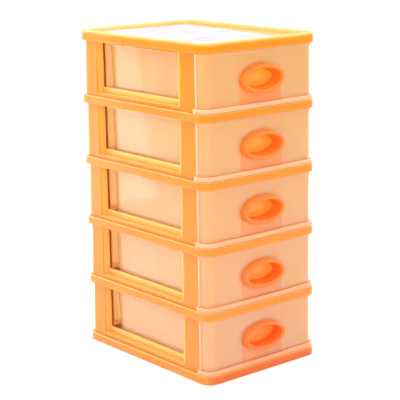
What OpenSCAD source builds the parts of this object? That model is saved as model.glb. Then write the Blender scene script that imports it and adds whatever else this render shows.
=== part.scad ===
// Desktop drawer tower: stacked tiers of one shelf, two window sides and a back
// panel, each with a translucent drawer that has a clip-in oval pull, under a tray lid.
// Millimetres. X runs across the front, Y from front to back, Z up from the base.

/* [Tower] */
// Number of drawers
tiers = 5; // [2:1:6]
// Height from one shelf to the next
tier_pitch = 79; // [70:1:100]
// Width across the flanges
tower_w = 180; // [165:1:240]
// Depth across the flanges
tower_d = 249; // [235:1:300]
// Radius of the tower's upright corners
corner_r = 14.5; // [13:0.5:18]

/* [Shelf] */
// Height of the flange round each shelf
flange_h = 10; // [9:0.5:13]
// Thickness of the flange wall
flange_t = 2.4; // [2:0.1:3]
// Rounding of the flange's upper outer edge
flange_round = 1.2; // [0.6:0.1:1.6]
// Thickness of the shelf plate
plate_t = 2.2; // [1.8:0.1:2.6]
// Height of the two runners that the drawer slides on
runner_h = 1; // [0.6:0.1:1.6]
// Width of each runner
runner_w = 4; // [2:0.5:8]
// Distance of each runner from the middle of the shelf
runner_x = 56; // [40:1:60]
// Thickness of the ribs under the shelf
rib_t = 1.6; // [1.2:0.1:2.4]
// Number of stiffening ribs under the shelf
rib_count = 3; // [1:1:5]

/* [Sides] */
// Distance of a side's foot from the edge of the flange under it
foot_inset = 3.8; // [3.4:0.1:4.4]
// Distance of a side's neck from the edge of the flange over it
neck_inset = 5.2; // [4.6:0.1:6]
// Distance from the flange's edge to a side's inner face
side_in = 15.5; // [14:0.5:18]
// Wall of the sides and backs
side_wall = 2.2; // [1.6:0.1:2.8]
// Width of the front post, behind the drawer front
front_post_w = 30; // [24:1:36]
// Width of the rear post, seen from the side
rear_post_w = 30; // [24:1:40]
// Width of the rear post, seen from behind
rear_return_w = 28; // [24:1:36]
// Height of the window's sill above the shelf
sill_h = 4.5; // [3:0.5:6]
// Height of the inner guide wall above the shelf
guide_h = 11; // [8:0.5:14]
// Radius of the window's upper corners
window_r = 5; // [2:0.5:8]
// Strip of wall left over the window
window_strip = 0.6; // [0.4:0.1:2]
// Height that a side rises inside the flange over it
rail_rise = 5.5; // [4.6:0.1:6]

/* [Clips] */
// Length of the clip that locks a side into the flange over it
clip_l = 28; // [18:1:36]
// Height of the clip
clip_h = 4.6; // [3.6:0.1:5]
// Distance of the clip's face behind the flange's face
clip_set = 0.5; // [0.2:0.1:1]
// Distance of the clip's middle from the front of the tower
clip_y = 139; // [110:1:160]
// Length of the tabs under a side
tab_l = 12; // [8:0.5:16]
// Thickness of the tabs under a side
tab_t = 3.6; // [2.6:0.1:4]
// Length that a tab reaches below the shelf
tab_snap = 1.6; // [1:0.1:2]

/* [Back] */
// Thickness of the back panel
back_t = 2; // [1.6:0.1:2.4]
// Distance of the back panel from the rear edge of the flange
back_inset = 7; // [6.4:0.1:8]
// Depth of the grooves that hold the back panel
groove_depth = 5; // [3:0.5:8]
// Width of the panel's foot, which stands through the shelf
back_foot_w = 74; // [40:2:90]
// Height of the ribs on the back panel
back_rib = 0.9; // [0.5:0.1:1.2]
// Width of those ribs
back_rib_w = 3; // [2:0.5:6]

/* [Drawer] */
// Distance of the drawer's face from the front of the flange
face_inset = 4.5; // [4:0.1:5]
// Depth of the drawer's wrapped front, from its face to the posts
front_depth = 16; // [13:0.5:20]
// Wall of the drawer's front
front_wall = 2; // [1.6:0.1:2.6]
// Width of the raised border round the drawer's front
border_w = 3; // [2:0.5:5]
// Height of the raised border
border_proud = 1; // [0.5:0.1:1.4]
// Thickness of the pad behind the pull, down to the ledge
pad_t = 1; // [0.6:0.1:2]
// Height of the ledge along the foot of the drawer's front
ledge_h = 5.6; // [4:0.2:8]
// Rounding of the ledge's upper edge
ledge_round = 1.4; // [0.6:0.1:2]
// Length of the drawer's tub, from its face to its back
tub_l = 212; // [160:1:220]
// Wall of the tub
tub_wall = 1.8; // [1.2:0.1:2.4]
// Floor of the tub
tub_floor = 2; // [1.4:0.1:3]
// Radius of the tub's rear corners
tub_r = 24; // [10:1:30]
// How far the tub's walls lean out from floor to rim
tub_lean = 1.5; // [0.5:0.1:3]
// Distance of the tub's rim below the drawer front's top
tub_drop = 3; // [3:0.5:12]
// Width of the tub's rim, outside its wall
tub_rim_w = 2; // [1.4:0.1:2.6]
// Thickness of the tub's rim
tub_rim_t = 1.8; // [1.2:0.1:3]
// Width of each stop tab on the tub's back
stop_w = 14; // [8:1:20]
// Height of the stop tabs above the drawer front's top
stop_rise = 2.8; // [2:0.2:3.6]
// Distance of the stop rib behind the posts' front
stop_back = 26; // [10:1:60]

/* [Handle] */
// Width of the oval pull
handle_w = 65.5; // [60:0.5:84]
// Height of the oval pull
handle_h = 35.5; // [32:0.5:40]
// Height of the pull's middle above the drawer's foot
handle_rise = 34; // [30:0.5:38]
// How far the pull's rim stands off the drawer's face
bead_h = 9; // [8:0.2:11]
// Width of the pull's rim
bead_w = 6; // [5:0.2:7]
// How far the pull's cup reaches behind the drawer's face
cup_depth = 10.6; // [6:0.2:12]
// Wall of the pull's cup
cup_wall = 1.6; // [1.2:0.1:2]
// How far the cup's wall leans in from its mouth to its floor
cup_lean = 1; // [0.4:0.1:2]
// Rounding between the cup's wall and its floor
cup_round = 2.2; // [1:0.1:3]
// How far the cup's floor is domed towards the hand
cup_dome = 0.8; // [0:0.1:1.2]

/* [Lid] */
// Height of the lid, from the top drawer to the edge of its rim
lid_h = 13; // [11:0.5:18]
// Thickness of the lid's rim
lid_rim_t = 3.2; // [2.6:0.1:4]
// Rounding of the rim's upper edge
rim_round = 1.5; // [0.6:0.1:2]
// Distance of the card's long edges from the lid's rim
card_side = 22.5; // [18:0.5:40]
// Distance of the card's short edges from the lid's rim
card_end = 19; // [15:0.5:40]
// Turn of the card, which lies a little askew
card_turn = 6.5; // [0:0.5:8]
// Distance of the card's middle to the left of the lid's middle
card_left = 5; // [0:0.5:6]
// Distance of the card's middle behind the lid's middle
card_back = 8; // [0:0.5:10]
// Radius of the card's corners
card_r = 3; // [1:0.5:8]
// Thickness of the card that lies in the tray
card_t = 0.8; // [0.4:0.1:2]

/* [Clearances] */
// Gap between frame pieces that plug together
seat_gap = 0.2; // [0.1:0.05:0.3]
// Gap between a drawer and the frame
slide_gap = 0.4; // [0.3:0.05:0.6]
// Gap between a drawer and the runners under it
run_gap = 0.3; // [0.3:0.05:0.4]
// Least gap between a drawer's back and the back panel
back_gap = 3; // [1:0.5:10]
// Gap round the pull's cup in the drawer front
cup_gap = 0.3; // [0.1:0.05:0.5]

/* [Hidden] */
$fn = 48;
// Overlap that joins the walls of one moulding
weld = 0.4;
// Extra length of a cutting shape past the face that it opens
past = 1;
orange = "#ffae45";
deep_orange = "#ff7d32";
peach = "#ffcf9c";
card_white = "#f4efff";

// The tower is as deep as its own size says, or deeper where its drawers need the room
back_y = max(tower_d - back_inset - back_t, face_inset + tub_l + tub_rim_w + back_gap);
depth = back_y + back_t + back_inset;

// The middle of the overall depth, pull included, lies on Y = 0
handle_proud = bead_h - face_inset;
front_y = (handle_proud - depth) / 2;

// Frame
plate_z = flange_h - plate_t;
side_front = face_inset + front_depth + slide_gap;
window_front = side_front + front_post_w;
window_back = depth - face_inset - rear_post_w;
window_top = tier_pitch - window_strip;
side_reach = foot_inset + rear_return_w;
rail_inset = flange_t + seat_gap;
tab_inset = (rail_inset + side_in - tab_t) / 2;
tab_drop = flange_h - rail_rise + tab_snap;
tab_front = side_front + (front_post_w - tab_l) / 2;
tab_back = window_back + (rear_post_w - foot_inset - tab_l) / 2 - side_wall;
bay_half = tower_w / 2 - side_in;
stop_y = side_front + stop_back;

// Drawer
drawer_z = flange_h + slide_gap;
drawer_top = tier_pitch - slide_gap;
tub_z = flange_h + runner_h + run_gap;
tub_top = drawer_top - tub_drop;
tub_half = bay_half - slide_gap - tub_rim_w;
tub_back = face_inset + tub_l;
stop_top = drawer_top + stop_rise;
front_back = face_inset + front_depth;

// Handle
handle_z = drawer_z + handle_rise;
half_w = handle_w / 2;
half_h = handle_h / 2;
well_w = half_w - bead_w;
well_h = half_h - bead_w;
cup_w = well_w + cup_wall;
cup_h = well_h + cup_wall;
oval_steps = 40;
// Height of the bead's inner edge, as a share of its crest
edge_share = 0.82;

// Lid: its plate rests on the top tier's rails
lid_floor = rail_rise + plate_t;

PIECES = ["shelf", "left_side", "right_side", "back_panel", "drawer", "handle"];

// ---------------------------------------------------------------- plan shapes

// A rectangle with four round corners
module round_rect(w, d, r) {
    square([w - 2 * r, d], center = true);
    square([w, d - 2 * r], center = true);
    for (sx = [-1, 1], sy = [-1, 1]) translate([sx * (w / 2 - r), sy * (d / 2 - r)]) circle(r);
}

// The tower's plan, drawn in by an inset; its front edge is at Y = inset
module outline(inset) {
    translate([0, depth / 2])
        round_rect(tower_w - 2 * inset, depth - 2 * inset, corner_r - inset);
}

// The tower's plan as a slab between two heights
module slab(inset, low, high) {
    translate([0, 0, low]) linear_extrude(high - low) outline(inset);
}

// Everything in front of a plane, for cutting a slab down to the drawer's front
module before(y, low, high) {
    translate([-tower_w, -depth, low]) cube([2 * tower_w, depth + y, high - low]);
}

// A block whose four sides lean: its corners are cones round a fixed core
module leaning_block(core_x, core_y, r_low, r_high, h) {
    rotate([90, 0, 0]) linear_extrude(2 * core_y, center = true)
        polygon([[-core_x - r_low, 0], [core_x + r_low, 0], [core_x + r_high, h], [-core_x - r_high, h]]);
    rotate([90, 0, 90]) linear_extrude(2 * core_x, center = true)
        polygon([[-core_y - r_low, 0], [core_y + r_low, 0], [core_y + r_high, h], [-core_y - r_high, h]]);
    for (sx = [-1, 1], sy = [-1, 1])
        translate([sx * core_x, sy * core_y, 0]) cylinder(h = h, r1 = r_low, r2 = r_high);
}

// A profile run round the tower's plan. X of the profile is 0 at the outline
// and negative inside it, Y of the profile is height.
module edge_sweep(inset) {
    r = corner_r - inset;
    half_x = tower_w / 2 - inset;
    half_y = depth / 2 - inset;
    translate([0, depth / 2, 0]) for (q = [0:3]) {
        reach = q % 2 == 0 ? half_x : half_y;
        run = 2 * ((q % 2 == 0 ? half_y : half_x) - r);
        rotate(90 * q) {
            translate([reach, run / 2, 0]) rotate([90, 0, 0]) linear_extrude(run) children();
            translate([reach - r, run / 2, 0]) rotate_extrude(angle = 90) translate([r, 0]) children();
        }
    }
}

// A wall profile, t thick and h high, with its outer edges rounded
module wall_profile(t, h, r_top, r_foot) {
    difference() {
        translate([-t, 0]) square([t, h]);
        difference() {
            translate([-r_top, h - r_top]) square(r_top + past);
            translate([-r_top, h - r_top]) circle(r_top);
        }
        difference() {
            translate([-r_foot, -past]) square([r_foot + past, r_foot + past]);
            translate([-r_foot, r_foot]) circle(r_foot);
        }
    }
}

// ---------------------------------------------------------------- frame

// What shelf and lid share below their plate: flange, seats for the sides,
// the rib that stops the drawer below, and the stiffening ribs
module under_plate(under_z) {
    for (side = [-1, 1]) seat(side, under_z);
    translate([-bay_half + slide_gap, stop_y, slide_gap])
        cube([2 * (bay_half - slide_gap), rib_t, under_z - slide_gap + weld]);
    for (i = [1:rib_count])
        translate([(2 * i / (rib_count + 1) - 1) * bay_half - rib_t / 2, stop_y, rail_rise])
            cube([rib_t, depth - stop_y - flange_t + weld, under_z - rail_rise + weld]);
}

// The raised seat over one side's top rail
module seat(side, under_z) {
    seat_w = side_in - rail_inset - 2 * seat_gap;
    x_mid = side * (tower_w / 2 - (side_in + rail_inset) / 2);
    translate([x_mid - seat_w / 2, side_front, rail_rise])
        cube([seat_w, depth - side_front - corner_r, under_z - rail_rise + weld]);
}

// Slots in shelf and seat for the tabs of the side that stands on them
module tab_slots(side) {
    x_mid = side * (tower_w / 2 - tab_inset - tab_t / 2);
    for (y = [tab_front, tab_back])
        translate([x_mid - tab_t / 2 - seat_gap, y - seat_gap, -past])
            cube([tab_t + 2 * seat_gap, tab_l + 2 * seat_gap, flange_h + 2 * past]);
}

// Notch in the flange for the clip of the side below
module clip_notch(side) {
    translate([side > 0 ? tower_w / 2 - flange_t - past : -tower_w / 2 - past,
               clip_y - clip_l / 2 - seat_gap, -past])
        cube([flange_t + 2 * past, clip_l + 2 * seat_gap, clip_h + seat_gap + past]);
}

module shelf(k) {
    color(orange) difference() {
        union() {
            edge_sweep(0) wall_profile(flange_t, flange_h, flange_round, flange_round / 2);
            slab(flange_t - weld, plate_z, flange_h);
            under_plate(plate_z);
            for (side = [-1, 1])
                translate([side * runner_x - runner_w / 2, side_front, flange_h - weld])
                    cube([runner_w, window_back - side_front, runner_h + weld]);
        }
        for (side = [-1, 1]) {
            tab_slots(side);
            if (k > 1) clip_notch(side);
        }
        back_slot();
    }
}

// Slot in the shelf for the foot of the back panel
module back_slot() {
    translate([-back_foot_w / 2 - seat_gap, back_y - seat_gap, -past])
        cube([back_foot_w + 2 * seat_gap, back_t + 2 * seat_gap, flange_h + 2 * past]);
}

// Left side: a front post, a rear post that turns the corner, a sill and a top rail
module left_side() {
    difference() {
        union() {
            intersection() {
                side_body();
                side_region(flange_h, tier_pitch);
            }
            top_rail();
            clip();
            side_tabs();
        }
        side_window();
        post_pockets();
        panel_groove();
    }
}

// The leaning outer form of all four walls of one tier
module side_body() {
    h = tier_pitch - flange_h;
    translate([0, depth / 2, flange_h])
        leaning_block(tower_w / 2 - corner_r, depth / 2 - corner_r,
                      corner_r - foot_inset, corner_r - neck_inset, h);
}

// The L-shaped room that a left side takes up in plan
module side_region(low, high) {
    translate([-tower_w / 2, side_front, low])
        cube([side_in, depth - side_front, high - low]);
    translate([-tower_w / 2, depth - side_in, low])
        cube([side_reach, side_in, high - low]);
}

module top_rail() {
    difference() {
        intersection() {
            slab(rail_inset, tier_pitch, tier_pitch + rail_rise);
            side_region(tier_pitch, tier_pitch + rail_rise);
        }
        // Channel that takes the tabs of the side above
        translate([-tower_w / 2 + rail_inset + side_wall, side_front + side_wall, tier_pitch + side_wall])
            cube([side_in - rail_inset - 2 * side_wall, depth - side_front - side_wall - side_in,
                  rail_rise]);
    }
}

module clip() {
    translate([-tower_w / 2 + clip_set, clip_y - clip_l / 2, tier_pitch])
        cube([rail_inset - clip_set + weld, clip_l, clip_h]);
}

module side_tabs() {
    for (y = [tab_front, tab_back])
        translate([-tower_w / 2 + tab_inset, y, flange_h - tab_drop])
            cube([tab_t, tab_l, tab_drop + weld]);
}

// The window: open right through above the guide wall, and down to the sill outside it
module side_window() {
    guide_top = flange_h + guide_h;
    translate([-tower_w / 2 - past, 0, 0]) rotate([90, 0, 90]) {
        linear_extrude(side_in + 2 * past) window_shape(guide_top);
        linear_extrude(side_in - side_wall + past) window_shape(flange_h + sill_h);
    }
}

// The window seen from the side, from a given height up, with round upper corners
module window_shape(low) {
    length = window_back - window_front;
    translate([window_front, low]) square([length, window_top - window_r - low]);
    translate([window_front + window_r, low]) square([length - 2 * window_r, window_top - low]);
    for (y = [window_front + window_r, window_back - window_r])
        translate([y, window_top - window_r]) circle(window_r);
}

// The posts are hollow, open towards the drawer
module post_pockets() {
    low = flange_h + side_wall;
    high = tier_pitch - side_wall;
    skin = neck_inset + side_wall;
    intersection() {
        slab(skin, low, high);
        union() {
            translate([-tower_w / 2, side_front + side_wall, low])
                cube([side_in + past, front_post_w - 2 * side_wall, high - low]);
            translate([-tower_w / 2, window_back + side_wall, low])
                cube([side_in + past, depth - window_back, high - low]);
            translate([-tower_w / 2, depth - side_in - past, low])
                cube([side_reach - groove_depth - side_wall, side_in + past, high - low]);
        }
    }
}

module panel_groove() {
    translate([-tower_w / 2 + side_reach - groove_depth, back_y - seat_gap,
               flange_h - past])
        cube([groove_depth + past, back_t + 2 * seat_gap, tier_pitch + rail_rise]);
}

// Back panel, held in the grooves of both rear posts, with a raised field outside
module back_panel() {
    half = tower_w / 2 - side_reach + groove_depth - seat_gap;
    open_half = tower_w / 2 - side_reach - seat_gap;
    top = tier_pitch + rail_rise - seat_gap;
    low = flange_h + back_rib_w;
    high = tier_pitch - back_rib_w;
    color(orange) {
        translate([-half, back_y, flange_h]) cube([2 * half, back_t, top - flange_h]);
        translate([-back_foot_w / 2, back_y, plate_z - tab_snap])
            cube([back_foot_w, back_t, plate_t + tab_snap + weld]);
        for (x = [-1, 0, 1])
            translate([x * (open_half - 1.5 * back_rib_w) - back_rib_w / 2, back_y + back_t - weld, low])
                cube([back_rib_w, back_rib + weld, high - low]);
        for (z = [low, high - back_rib_w])
            translate([-open_half + back_rib_w, back_y + back_t - weld, z])
                cube([2 * (open_half - back_rib_w), back_rib + weld, back_rib_w]);
    }
}

// ---------------------------------------------------------------- drawer

module drawer() {
    color(peach, 0.75) difference() {
        union() {
            wrapped_front();
            shoulders();
            ledge();
            difference() {
                tub_shell();
                tub_room();
            }
            pad();
        }
        handle_hole();
    }
}

// The front plate with its two wings and the raised border along their edges
module wrapped_front() {
    difference() {
        union() {
            intersection() {
                slab(face_inset, drawer_z, drawer_top);
                before(front_back, drawer_z, drawer_top);
            }
            intersection() {
                slab(face_inset - border_proud, drawer_z, drawer_top);
                union() {
                    before(front_back, drawer_top - border_w, drawer_top);
                    translate([-tower_w, front_back - border_w, drawer_z])
                        cube([2 * tower_w, border_w, drawer_top - drawer_z]);
                }
                before(front_back, drawer_z, drawer_top);
            }
        }
        slab(face_inset + front_wall, drawer_z - past, drawer_top + past);
    }
}

// Webs that tie the wings to the tub at its rim
module shoulders() {
    difference() {
        intersection() {
            slab(face_inset + front_wall - weld, tub_top - tub_rim_t, tub_top);
            before(front_back, tub_top - tub_rim_t, tub_top);
        }
        tub_room();
    }
}

// The pad behind the pull, from its middle down to the tub's floor
module pad() {
    translate([-handle_w / 2, face_inset + front_wall - weld, tub_z + tub_floor - weld])
        cube([handle_w, pad_t + weld, handle_z - tub_z - tub_floor + weld]);
}

// The ledge along the foot of the front, out to the flange's edge
module ledge() {
    reach = face_inset + front_wall - weld;
    intersection() {
        translate([0, 0, drawer_z]) edge_sweep(slide_gap)
            wall_profile(reach, ledge_h, ledge_round, ledge_round / 2);
        before(front_back, drawer_z, drawer_z + ledge_h);
    }
}

// The tub's outer form and its rim
module tub_shell() {
    intersection() {
        union() {
            tub_block(0, tub_z, tub_top);
            translate([0, 0, tub_top - tub_rim_t]) tub_rim();
            stop_tabs();
        }
        translate([-tower_w, face_inset + front_wall / 2, 0]) cube([2 * tower_w, depth, 2 * tier_pitch]);
    }
}

// A leaning block as long as the tub; inside it by `skin` it is the tub's room
module tub_block(skin, low, high) {
    core_x = tub_half - tub_r;
    core_y = tub_l / 2;
    r_high = tub_r - skin;
    r_low = r_high - tub_lean;
    // The block runs out past the front, so that only its rear corners show
    translate([0, tub_back - tub_r - core_y, low]) leaning_block(core_x, core_y, r_low, r_high, high - low);
}

module tub_rim() {
    wide = 2 * (tub_half + tub_rim_w);
    linear_extrude(tub_rim_t) translate([0, tub_back + tub_rim_w - depth])
        round_rect(wide, 2 * depth, tub_r + tub_rim_w);
}

// Two tabs on the tub's back that meet the stop rib when the drawer is drawn out
module stop_tabs() {
    for (side = [-1, 1])
        translate([side * runner_x / 2 - stop_w / 2, tub_back - tub_wall, tub_top - tub_drop])
            cube([stop_w, tub_wall, stop_top - tub_top + tub_drop]);
}

module tub_room() {
    intersection() {
        tub_block(tub_wall, tub_z + tub_floor, tub_top + past);
        translate([-tower_w, face_inset + front_wall, 0]) cube([2 * tower_w, depth, 2 * tier_pitch]);
    }
}

module handle_hole() {
    translate([0, face_inset + front_wall / 2, handle_z]) rotate([90, 0, 0])
        linear_extrude(2 * (front_wall + pad_t + past), center = true)
            polygon([for (p = oval(cup_w + cup_gap, cup_h + cup_gap, 0)) [p[0], p[2]]]);
}

// ---------------------------------------------------------------- handle

// An oval ring of points, `out` in front of the drawer's face
function oval(w, h, out) =
    [for (i = [0:oval_steps - 1]) [w * cos(360 * i / oval_steps), -out, h * sin(360 * i / oval_steps)]];

// The rings of the pull, from the back of its cup round the bead and down to its floor.
// bead: how far a ring lies inside the pull's edge (share of bead_w) and stands out
// (share of bead_h). dome: a ring's share of the floor's size and of cup_dome.
function handle_rings() =
    let (
        bead = [[0.08, 0], [0, 0.09], [0.03, 0.62], [0.2, 0.87], [0.43, 1], [0.7, 0.96], [0.9, edge_share]],
        dome = [[0.72, 0.45], [0.38, 0.85]],
        floor_out = cup_wall - cup_depth,
        inset = cup_lean + cup_round
    )
    concat(
        [
            oval(cup_w - cup_lean - cup_wall, cup_h - cup_lean - cup_wall, -cup_depth),
            oval(cup_w - cup_lean, cup_h - cup_lean, cup_wall - cup_depth),
            oval(cup_w, cup_h, 0)
        ],
        [for (step = bead)
            oval(half_w - step[0] * bead_w, half_h - step[0] * bead_w, step[1] * bead_h)],
        [oval(well_w - cup_lean / 2, well_h - cup_lean / 2, edge_share * bead_h / 2 + floor_out / 2)],
        [for (turn = [0:30:90])
            oval(well_w - inset + cup_round * cos(turn), well_h - inset + cup_round * cos(turn),
                 floor_out + cup_round * (1 - sin(turn)))],
        [for (step = dome)
            oval(step[0] * (well_w - inset), step[0] * (well_h - inset), floor_out + step[1] * cup_dome)]
    );

// The pull: a bead round a deep oval cup for the fingertips
module handle() {
    rings = handle_rings();
    n = oval_steps;
    last = len(rings) - 1;
    points = concat([for (ring = rings) each ring],
                    [[0, cup_depth, 0], [0, cup_depth - cup_wall - cup_dome, 0]]);
    back_mid = len(points) - 2;
    front_mid = len(points) - 1;
    bands = [for (j = [0:last - 1], i = [0:n - 1])
        let (a = j * n + i, b = j * n + (i + 1) % n)
        each [[a, a + n, b + n], [a, b + n, b]]];
    back_fan = [for (i = [0:n - 1]) [back_mid, i, (i + 1) % n]];
    front_fan = [for (i = [0:n - 1]) [front_mid, last * n + (i + 1) % n, last * n + i]];
    color(deep_orange) translate([0, face_inset, handle_z])
        polyhedron(points = points, faces = concat(bands, back_fan, front_fan), convexity = 6);
}

// ---------------------------------------------------------------- lid

module lid() {
    color(orange) difference() {
        union() {
            edge_sweep(0) wall_profile(flange_t, lid_floor, weld, flange_round / 2);
            translate([0, 0, lid_floor - plate_t])
                edge_sweep(0) wall_profile(lid_rim_t, lid_h - lid_floor + plate_t, rim_round, weld);
            slab(flange_t - weld, lid_floor - plate_t, lid_floor);
            under_plate(lid_floor - plate_t);
        }
        for (side = [-1, 1]) clip_notch(side);
    }
}

module top_card() {
    color(card_white) translate([-card_left, depth / 2 + card_back, lid_floor])
        rotate(-card_turn) linear_extrude(card_t)
            round_rect(tower_w - 2 * (lid_rim_t + card_side), depth - 2 * (lid_rim_t + card_end), card_r);
}

// ---------------------------------------------------------------- assembly

module at_tier(k) {
    translate([0, front_y, (k - 1) * tier_pitch]) children();
}

for (k = [1:tiers]) {
    at_tier(k) shelf(k);
    at_tier(k) color(orange) left_side();
    at_tier(k) color(orange) mirror([1, 0, 0]) left_side();
    at_tier(k) back_panel();
    at_tier(k) drawer();
    at_tier(k) handle();
}
at_tier(tiers + 1) lid();
at_tier(tiers + 1) top_card();
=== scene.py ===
"""Looks of the desktop drawer tower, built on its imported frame.

Every piece of the tower is a node of the frame and keeps its mesh. This script gives each
one its plastic, prints a pale pattern on the card in the lid, and sets up the studio and
the camera. Everything is in metres, in the frame's own axes: X across the front, Y from
the drawers' faces to the back, Z up.
"""

import math

import bpy
from mathutils import Matrix, Vector


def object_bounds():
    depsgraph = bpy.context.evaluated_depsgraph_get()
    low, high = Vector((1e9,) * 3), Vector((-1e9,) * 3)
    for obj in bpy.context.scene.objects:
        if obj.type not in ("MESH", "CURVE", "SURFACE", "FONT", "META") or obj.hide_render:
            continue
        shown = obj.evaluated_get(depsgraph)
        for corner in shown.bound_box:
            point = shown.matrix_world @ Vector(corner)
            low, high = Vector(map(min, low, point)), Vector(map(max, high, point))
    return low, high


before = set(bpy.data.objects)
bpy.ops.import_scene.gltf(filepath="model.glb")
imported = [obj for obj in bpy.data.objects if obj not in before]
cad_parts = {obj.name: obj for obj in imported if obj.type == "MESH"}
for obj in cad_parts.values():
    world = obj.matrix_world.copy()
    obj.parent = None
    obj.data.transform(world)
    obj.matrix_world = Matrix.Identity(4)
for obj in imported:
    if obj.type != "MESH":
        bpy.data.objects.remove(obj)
CAD_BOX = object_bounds()
LOW, HIGH = (Vector(corner) for corner in CAD_BOX)


def corners(name):
    """The low and high corner of one node of the frame."""
    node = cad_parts[name]
    points = [node.matrix_world @ Vector(corner) for corner in node.bound_box]
    return tuple(Vector(pick(p[i] for p in points) for i in range(3)) for pick in (min, max))


# ---------------------------------------------------------------- places on the tower
DRAWER_LOW = corners("drawer_1")[0]
PULL_LOW, PULL_HIGH = corners("handle_1")
TIER_PITCH = corners("drawer_2")[0].z - DRAWER_LOW.z
FRONT_HEIGHT = corners("shelf_2")[0].z - DRAWER_LOW.z  # a drawer's foot to the flange over it
PULL_MIDDLE = (PULL_LOW.z + PULL_HIGH.z) / 2 - DRAWER_LOW.z  # a drawer's foot to its pull's middle
LEDGE_TOP = 0.0056  # the ledge along the foot of a drawer's front
BORDER_WIDTH = 0.003  # the raised border of a drawer's front
WRAP_DEPTH = 0.0202  # how far a drawer's front reaches back round the corners
BEAD_WIDTH = 0.006  # the bead round a pull's cup
BASE_HEIGHT = 0.01  # the lowest flange
SKIN_DEPTH = 0.0062  # from the flanges' edge in to behind the skin of a side
SIDE_DEPTH = 0.0162  # from the flanges' edge in to the inner face of a side
BACK_DEPTH = 0.0095  # from the rear flanges' edge to before the back panels
RIM_DEPTH = 0.0045  # how far down the lid's rim is painted paler, as a highlight
TRAY_DEPTH = 0.0058  # from the rim's top to under the tray's floor
RIM_WIDTH = 0.0026  # the rim round the tray

# ---------------------------------------------------------------- where masks begin and end
SOFT_EDGE = 0.0008  # half the width over which a mask fades, in metres
CUP_EDGE = 0.04  # the same for a cup's oval, as a share of its size
# Noise: where clouds begin and are full, and the range over which roughness wanders
CLOUDS = (0.35, 0.75)
WANDER = (0.3, 0.7)
# Faces that look along an axis: how squarely they do where their mask begins and is full
SQUARE_FRONT = (-0.6, -0.95)
ANY_FRONT = (-0.3, -0.8)
CUP_FLOOR = (-0.5, -0.9)
ANY_TOP = (0.2, 0.9)

# ---------------------------------------------------------------- colours (sRGB, 0 to 255)
# Graded by height, as painted light and shade for how the light falls low and high on the tower:
# the colour at the tower's foot and the one at its top
FRAME = ((254, 132, 58), (255, 130, 6))
# Painted highlight on upper faces and the lid's rim
CREST_HIGHLIGHT = ((255, 162, 84), (250, 176, 108))
# Painted light inside the windows, for light through the milky walls
INSIDE_GLOW = ((255, 186, 104), (255, 190, 88))
PULL = ((252, 116, 52), (255, 122, 38))
# Painted shade on a cup's wall and painted light on its floor
CUP_WALL_SHADE = ((255, 108, 42), (255, 136, 34))
CUP_LIT = ((255, 154, 72), (255, 178, 58))
DRAWER_FRONT = ((232, 158, 120), (255, 160, 94))
# Painted light: the tub's sides paler than the front
DRAWER_TUB_LIT = ((246, 172, 130), (255, 168, 108))
BAND = ((222, 144, 100), (255, 138, 60))
# Painted highlight on the front's borders and ledge
BORDER_HIGHLIGHT = ((222, 148, 106), (250, 166, 120))
# The same at every height
# Painted shade near the floor, on the face of the lowest flange
FRAME_FLOOR_SHADE = (236, 104, 44)
FRAME_DEEP = (255, 122, 2)
# Painted light farther inside the windows, less pale
DEEPER_GLOW = (255, 158, 56)
# Painted top light on the tray inside the lid's rim
TRAY_LIT = (228, 176, 112)
DRAWER_DEEP = (255, 146, 72)
CARD = (196, 192, 202)
FLOOR = (250, 249, 248)
WHITE = (255, 255, 255)
# The card's tints: colour, patches to the metre, and the noise where each begins and is full
CARD_TINTS = (
    ((176, 166, 204), 17, (0.52, 0.66)),  # lilac
    ((202, 176, 194), 23, (0.56, 0.68)),  # pink
    ((168, 176, 206), 31, (0.6, 0.7)),  # blue
)

# ---------------------------------------------------------------- plastics and card
PLASTIC_IOR = 1.49
# The milky plastics scatter light of every colour over the same depth
MILKY = {"IOR": PLASTIC_IOR, "Subsurface_Weight": 1.0, "Subsurface_Scale": 0.012,
         "Subsurface_Radius": (1.0, 1.0, 1.0)}
REVEAL_SCATTER = 0.2  # the share of light that still scatters in the windows' rear reveals
MOULD_RELIEF = 0.0001  # the height of the waves in moulded plastic
CARD_GRAIN = 0.00001  # the height of the card's grain


def linear(rgb):
    """An sRGB colour as the linear RGBA that a shader takes."""
    channels = [c / 255 for c in rgb]
    return [c / 12.92 if c <= 0.04045 else ((c + 0.055) / 1.055) ** 2.4 for c in channels] + [1.0]


# ---------------------------------------------------------------- shader helpers
# The Mix node's two sockets for colours, and its output of one
MIX_FIRST, MIX_SECOND, MIX_RESULT = 6, 7, 2


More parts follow.
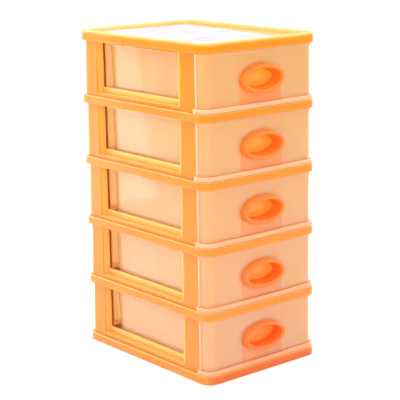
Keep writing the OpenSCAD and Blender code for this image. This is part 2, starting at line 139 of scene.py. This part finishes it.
class Shader:
    """A new material with one surface shader, and short ways to add nodes to it.

    A mask is an output that is 1 in some places and 0 in the others.
    """

    def __init__(self, name, **values):
        self.material = bpy.data.materials.new(name)
        self.material.use_nodes = True
        self.tree = self.material.node_tree
        self.surface = self.tree.nodes["Principled BSDF"]
        for socket, value in values.items():
            self.surface.inputs[socket.replace("_", " ")].default_value = value
        self.place = self.add("ShaderNodeTexCoord").outputs["Object"]

    def add(self, kind, **settings):
        """A new node with the given settings."""
        node = self.tree.nodes.new(kind)
        for setting, value in settings.items():
            setattr(node, setting, value)
        return node

    def link(self, output, node, socket):
        """Joins an output to one socket of a node."""
        self.tree.links.new(output, node.inputs[socket])

    def maths(self, operation, first, second=0.0):
        """One step of arithmetic on outputs or numbers."""
        node = self.add("ShaderNodeMath", operation=operation)
        for socket, value in enumerate((first, second)):
            if isinstance(value, (int, float)):
                node.inputs[socket].default_value = value
            else:
                self.link(value, node, socket)
        return node.outputs[0]

    def spread(self, value, low, high, out_low=0.0, out_high=1.0):
        """Maps a value's range onto another one, and keeps within that one."""
        node = self.add("ShaderNodeMapRange")
        node.inputs["From Min"].default_value = low
        node.inputs["From Max"].default_value = high
        node.inputs["To Min"].default_value = out_low
        node.inputs["To Max"].default_value = out_high
        self.link(value, node, "Value")
        return node.outputs["Result"]

    # Places and directions
    def axis(self, name):
        """The place along one axis, in metres."""
        node = self.add("ShaderNodeSeparateXYZ")
        self.link(self.place, node, "Vector")
        return node.outputs[name]

    def off_middle(self):
        """The distance from the tower's middle plane, to the left or to the right."""
        return self.maths("ABSOLUTE", self.axis("X"))

    def tier_height(self):
        """The height above the foot of the drawer of the same tier."""
        above_lowest = self.maths("SUBTRACT", self.axis("Z"), DRAWER_LOW.z)
        return self.maths("MODULO", above_lowest, TIER_PITCH)

    def facing(self, name):
        """How far a face looks along one axis: 1 along it, 0 across it and -1 away from it."""
        normal = self.add("ShaderNodeSeparateXYZ")
        self.link(self.add("ShaderNodeNewGeometry").outputs["Normal"], normal, "Vector")
        return normal.outputs[name]

    # Masks
    def below(self, value, limit, soft=SOFT_EDGE):
        """The mask of values under a limit, with a soft edge."""
        return self.spread(value, limit - soft, limit + soft, 1, 0)

    def above(self, value, limit):
        """The mask of values over a limit, with a soft edge."""
        return self.outside(self.below(value, limit))

    def outside(self, mask):
        """The mask of all that another mask leaves out."""
        return self.maths("SUBTRACT", 1, mask)

    def overlap(self, first, *others):
        """The mask of what all the given masks share."""
        for mask in others:
            first = self.maths("MULTIPLY", first, mask)
        return first

    def either(self, first, second):
        """The mask of what is in one mask or in the other."""
        return self.maths("MAXIMUM", first, second)

    def looking(self, name, fade):
        """The mask of the faces that look along an axis, which begins and is full at `fade`."""
        return self.spread(self.facing(name), *fade)

    # Noise
    def noise(self, scale, detail=2.0, stretch=(1, 1, 1)):
        """Noise with `scale` patches to the metre, stretched along the axes."""
        mapping = self.add("ShaderNodeMapping")
        mapping.inputs["Scale"].default_value = stretch
        self.link(self.place, mapping, "Vector")
        node = self.add("ShaderNodeTexNoise")
        node.inputs["Scale"].default_value = scale
        node.inputs["Detail"].default_value = detail
        self.link(mapping.outputs["Vector"], node, "Vector")
        return node.outputs["Fac"]

    def clouds(self, noise, strength, fade=CLOUDS):
        """Soft clouds out of noise, at most as strong as given."""
        return self.spread(noise, *fade, 0, strength)

    # Colours
    def mix(self, share, first, second):
        """Blends two colours, each an sRGB triple or another node's output."""
        node = self.add("ShaderNodeMix", data_type="RGBA")
        self.link(share, node, 0)
        for socket, colour in ((MIX_FIRST, first), (MIX_SECOND, second)):
            if isinstance(colour, tuple):
                node.inputs[socket].default_value = linear(colour)
            else:
                self.link(colour, node, socket)
        return node.outputs[MIX_RESULT]

    def by_height(self, graded):
        """A colour that goes from one at the tower's foot to another at its top: painted light and
        shade, for how the light falls low and high on the tower.
        """
        return self.mix(self.spread(self.axis("Z"), LOW.z, HIGH.z), *graded)

    # What the surface takes
    def colour(self, output):
        """Gives the surface its colour."""
        self.link(output, self.surface, "Base Color")

    def roughness(self, low, high, scale):
        """Roughness that wanders between two values, as on handled plastic."""
        wander = self.spread(self.noise(scale, detail=4), *WANDER, low, high)
        self.link(wander, self.surface, "Roughness")

    def relief(self, height, depth):
        """Bumps from a height value, as deep as given in metres."""
        bump = self.add("ShaderNodeBump")
        bump.inputs["Strength"].default_value = 1.0
        bump.inputs["Distance"].default_value = depth
        self.link(height, bump, "Height")
        self.link(bump.outputs["Normal"], self.surface, "Normal")


# ---------------------------------------------------------------- materials
def frame_plastic():
    """Glossy orange polypropylene, with painted light: paler inside the windows, on upper faces
    and in the tray.
    """
    shader = Shader("frame_plastic", Specular_IOR_Level=0.25, **MILKY)
    off_middle = shader.off_middle()
    behind_front = shader.above(shader.axis("Y"), DRAWER_LOW.y + WRAP_DEPTH)

    # The outside, with faint flow marks, and painted shade near the floor: redder on the face of
    # the lowest flange
    marks = shader.clouds(shader.noise(scale=22, detail=3, stretch=(1, 1, 0.35)), strength=0.15)
    colour = shader.mix(marks, shader.by_height(FRAME), FRAME_DEEP)
    floor_shade = shader.overlap(shader.below(shader.axis("Z"), LOW.z + BASE_HEIGHT),
                          shader.looking("Y", SQUARE_FRONT))
    colour = shader.mix(floor_shade, colour, FRAME_FLOOR_SHADE)

    # Painted light inside the windows, as far back as the back panels: paler where light through
    # the milky walls would glow, and less pale farther in
    before_panels = shader.below(shader.axis("Y"), HIGH.y - BACK_DEPTH)
    forwards = shader.looking("Y", ANY_FRONT)
    inside = shader.overlap(shader.below(off_middle, HIGH.x - SKIN_DEPTH), behind_front,
                            shader.either(before_panels, forwards))
    farther_in = shader.below(off_middle, HIGH.x - SIDE_DEPTH)
    glow = shader.mix(farther_in, shader.by_height(INSIDE_GLOW), DEEPER_GLOW)
    colour = shader.mix(inside, colour, glow)

    # The windows' rear reveals scatter less light, which keeps their colour deep
    reveals = shader.overlap(inside, before_panels, forwards)
    scatter = shader.spread(reveals, 0, 1, 1, REVEAL_SCATTER)
    shader.link(scatter, shader.surface, "Subsurface Weight")

    # A painted highlight on faces that look up and on the lid's rim, and painted top light on the
    # tray inside it
    at_rim = shader.spread(shader.axis("Z"), HIGH.z - RIM_DEPTH, HIGH.z)
    lit_tops = shader.either(shader.looking("Z", ANY_TOP), at_rim)
    colour = shader.mix(lit_tops, colour, shader.by_height(CREST_HIGHLIGHT))
    in_tray = shader.overlap(shader.above(shader.axis("Z"), HIGH.z - TRAY_DEPTH),
                             shader.below(off_middle, HIGH.x - RIM_WIDTH),
                             shader.below(shader.axis("Y"), HIGH.y - RIM_WIDTH),
                             behind_front)
    shader.colour(shader.mix(in_tray, colour, TRAY_LIT))
    shader.roughness(0.16, 0.24, scale=60)
    shader.relief(shader.noise(scale=30, detail=1), MOULD_RELIEF)
    return shader.material


def drawer_plastic():
    """Milky peach polypropylene, deeper on the band below the pull, with the tub painted paler as
    light on its sides and the borders painted paler as a highlight.
    """
    shader = Shader("drawer_plastic", Specular_IOR_Level=0.5, **MILKY)
    height = shader.tier_height()
    front = shader.below(shader.axis("Y"), DRAWER_LOW.y + WRAP_DEPTH)

    # The front and the tub behind it, with soft clouds; the tub's paler colour is painted light on
    # its sides
    clouds = shader.clouds(shader.noise(scale=16, detail=3, stretch=(1, 1, 0.5)), strength=0.35)
    colour = shader.mix(front, shader.by_height(DRAWER_TUB_LIT), shader.by_height(DRAWER_FRONT))
    colour = shader.mix(clouds, colour, DRAWER_DEEP)

    # The band on the front, from the pull's middle down
    band = shader.overlap(shader.below(height, PULL_MIDDLE),
                          shader.below(shader.off_middle(), PULL_HIGH.x), front)
    colour = shader.mix(band, colour, shader.by_height(BAND))

    # The borders and the ledge, painted paler as a highlight: all of the front but the field
    # inside them
    field = shader.overlap(
        shader.below(height, FRONT_HEIGHT - BORDER_WIDTH),
        shader.below(shader.axis("Y"), DRAWER_LOW.y + WRAP_DEPTH - BORDER_WIDTH),
        shader.above(height, LEDGE_TOP))
    borders = shader.overlap(shader.outside(field), front)
    shader.colour(shader.mix(borders, colour, shader.by_height(BORDER_HIGHLIGHT)))
    shader.roughness(0.03, 0.06, scale=50)
    shader.relief(shader.noise(scale=24, detail=1), MOULD_RELIEF)
    return shader.material


def pull_plastic():
    """The deep orange of the pulls, with painted light through the floor of the cup and painted
    shade, darkest, on its wall.
    """
    shader = Shader("pull_plastic", IOR=PLASTIC_IOR, Specular_IOR_Level=0.3,
                    Subsurface_Weight=0.6, Subsurface_Scale=0.003,
                    Subsurface_Radius=(1.0, 0.6, 0.4))

    # The cup's oval inside the bead: both distances from its middle are 1 on its edge
    across = shader.maths("DIVIDE", shader.axis("X"), PULL_HIGH.x - BEAD_WIDTH)
    rise = shader.maths("DIVIDE", shader.maths("SUBTRACT", shader.tier_height(), PULL_MIDDLE),
                        (PULL_HIGH.z - PULL_LOW.z) / 2 - BEAD_WIDTH)
    oval = shader.maths("ADD", shader.maths("POWER", across, 2), shader.maths("POWER", rise, 2))
    in_cup = shader.below(oval, 1, CUP_EDGE)

    # Painted light and shade in the cup: paler where its floor looks forward, darkest on its wall
    cup = shader.mix(shader.looking("Y", CUP_FLOOR), shader.by_height(CUP_WALL_SHADE),
                     shader.by_height(CUP_LIT))
    shader.colour(shader.mix(in_cup, shader.by_height(PULL), cup))
    shader.roughness(0.2, 0.28, scale=90)
    return shader.material


def card_print():
    """A satin white sheet with soft lilac, pink and blue clouds."""
    shader = Shader("card", Coat_Weight=0.25, Coat_Roughness=0.2)
    colour = CARD
    for tint, scale, fade in CARD_TINTS:
        clouds = shader.clouds(shader.noise(scale, detail=1.5), strength=0.85, fade=fade)
        colour = shader.mix(clouds, colour, tint)
    shader.colour(colour)
    shader.roughness(0.35, 0.5, scale=80)
    shader.relief(shader.noise(scale=900, detail=3), CARD_GRAIN)
    return shader.material


def dress_nodes():
    """Gives each node of the frame the material that its name calls for."""
    materials = {"drawer": drawer_plastic(), "handle": pull_plastic(), "top": card_print()}
    orange = frame_plastic()
    for name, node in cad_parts.items():
        material = materials.get(name.split("_")[0], orange)
        for slot in node.material_slots:
            slot.material = material


# ---------------------------------------------------------------- studio
CAMERA_AT = (-1.03022, -1.24865, 0.57032)
CAMERA_YAW = 39.5908  # in degrees, as the next two
CAMERA_PITCH = -13.1
CAMERA_ROLL = -0.978
LENS_MM = 118.086
SENSOR_MM = 36.0
FARTHEST_SEEN = 50
FLOOR_HALF = 6.0
SURROUNDINGS = 1.15  # the strength of the white world
MIDDLE = (0, 0, HIGH.z / 2)
# Each softbox: its name, place, target, width, height, watts and roll in degrees
SOFTBOXES = (
    ("top_light", (-0.3, -0.1, 1.7), MIDDLE, 1.6, 1.6, 8, 0),
    ("key_light", (-1.8, -1.0, 1.3), MIDDLE, 1.2, 1.2, 16, 0),
    ("front_light", (-0.5, -2.3, 1.0), MIDDLE, 1.4, 1.2, 7, 0),
    ("back_light", (-0.3, 2.2, 0.9), MIDDLE, 1.5, 1.6, 22, 0),
    ("right_light", (2.0, 0.2, 0.9), MIDDLE, 1.2, 1.2, 12, 0),
    ("side_panel", (-0.28, 0.75, 0.45), (0.37, -0.01, 0.45), 0.5, 0.9, 2.4, 5),
)


def add_camera():
    """The photograph's viewpoint: before the left front corner, looking slightly down."""
    data = bpy.data.cameras.new("camera")
    data.lens = LENS_MM
    data.sensor_width = SENSOR_MM
    data.clip_end = FARTHEST_SEEN
    camera = bpy.data.objects.new("camera", data)
    bpy.context.scene.collection.objects.link(camera)
    yaw, pitch, roll = (math.radians(a) for a in (CAMERA_YAW, CAMERA_PITCH, CAMERA_ROLL))
    aim = Matrix.Rotation(-yaw, 4, "Z") @ Matrix.Rotation(math.pi / 2 + pitch, 4, "X")
    camera.matrix_world = Matrix.Translation(CAMERA_AT) @ aim @ Matrix.Rotation(roll, 4, "Z")
    bpy.context.scene.camera = camera


def add_softbox(name, at, target, width, height, watts, roll):
    """A rectangular soft light at a point, turned to a target and rolled round its own axis."""
    data = bpy.data.lights.new(name, "AREA")
    data.shape = "RECTANGLE"
    data.size = width
    data.size_y = height
    data.energy = watts
    light = bpy.data.objects.new(name, data)
    bpy.context.scene.collection.objects.link(light)
    aim = (Vector(target) - Vector(at)).to_track_quat("-Z", "Y").to_matrix().to_4x4()
    rolled = Matrix.Rotation(math.radians(roll), 4, "Z")
    light.matrix_world = Matrix.Translation(at) @ aim @ rolled


def add_floor():
    """A wide pale floor, level with the tower's foot."""
    mesh = bpy.data.meshes.new("floor")
    signs = ((-1, -1), (1, -1), (1, 1), (-1, 1))
    points = [(x * FLOOR_HALF, y * FLOOR_HALF, LOW.z) for x, y in signs]
    mesh.from_pydata(points, [], [(0, 1, 2, 3)])
    floor = bpy.data.objects.new("floor", mesh)
    bpy.context.scene.collection.objects.link(floor)
    shader = Shader("floor", Roughness=0.7)
    shader.colour(shader.mix(shader.noise(scale=3), FLOOR, WHITE))
    mesh.materials.append(shader.material)


def light_studio():
    """White surroundings, and softboxes over the tower and on all its sides."""
    scene = bpy.context.scene
    scene.view_settings.view_transform = "Standard"
    world = bpy.data.worlds.new("studio")
    world.use_nodes = True
    background = world.node_tree.nodes["Background"].inputs
    background["Color"].default_value = (1, 1, 1, 1)
    background["Strength"].default_value = SURROUNDINGS
    scene.world = world
    for softbox in SOFTBOXES:
        add_softbox(*softbox)


dress_nodes()
add_floor()
light_studio()
add_camera()
